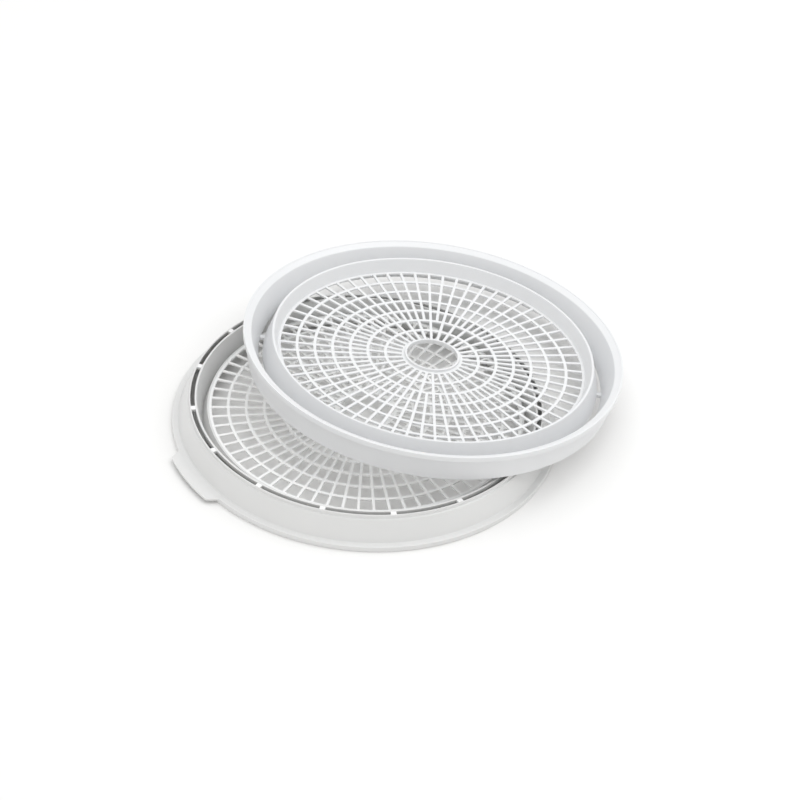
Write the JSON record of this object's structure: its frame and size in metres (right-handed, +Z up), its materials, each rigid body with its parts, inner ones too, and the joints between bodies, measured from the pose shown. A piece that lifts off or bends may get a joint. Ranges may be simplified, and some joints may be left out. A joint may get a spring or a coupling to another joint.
{
  "type": "food dehydrator stacking trays",
  "caption": "Round slotted drying trays with open radial grids and stepped rims: one lies upside down, the other leans across it and lifts off.",
  "frame": {"origin": "centre of the lower tray's rim, on the surface that it stands on", "axes": "+Z up; the upper tray leans towards +X and +Y; seen from the front, +X is right and +Y is away"},
  "size_m": [0.3984, 0.3987, 0.0688],
  "materials": {
    "lower_tray_plastic": "satin moulded white",
    "upper_tray_plastic": "satin moulded white"
  },
  "bodies": {
    "lower_tray": {"lower_outer_wall": "lower_tray_plastic", "lower_lift_tab": "lower_tray_plastic", "lower_slot_bridges": "lower_tray_plastic", "lower_channel_wall": "lower_tray_plastic", "lower_bed_wall": "lower_tray_plastic", "lower_food_grid": "lower_tray_plastic", "lower_centre_collar": "lower_tray_plastic"},
    "upper_tray": {"upper_outer_wall": "upper_tray_plastic", "upper_skirt": "upper_tray_plastic", "upper_slot_bridges": "upper_tray_plastic", "upper_channel_wall": "upper_tray_plastic", "upper_bed_wall": "upper_tray_plastic", "upper_food_grid": "upper_tray_plastic", "upper_centre_collar": "upper_tray_plastic"}
  },
  "joints": [
    {"name": "upper_tray_lift", "type": "slide", "parent": "lower_tray", "child": "upper_tray", "axis": [0, 0, 1], "range_m": [0, 0.2]}
  ]
}
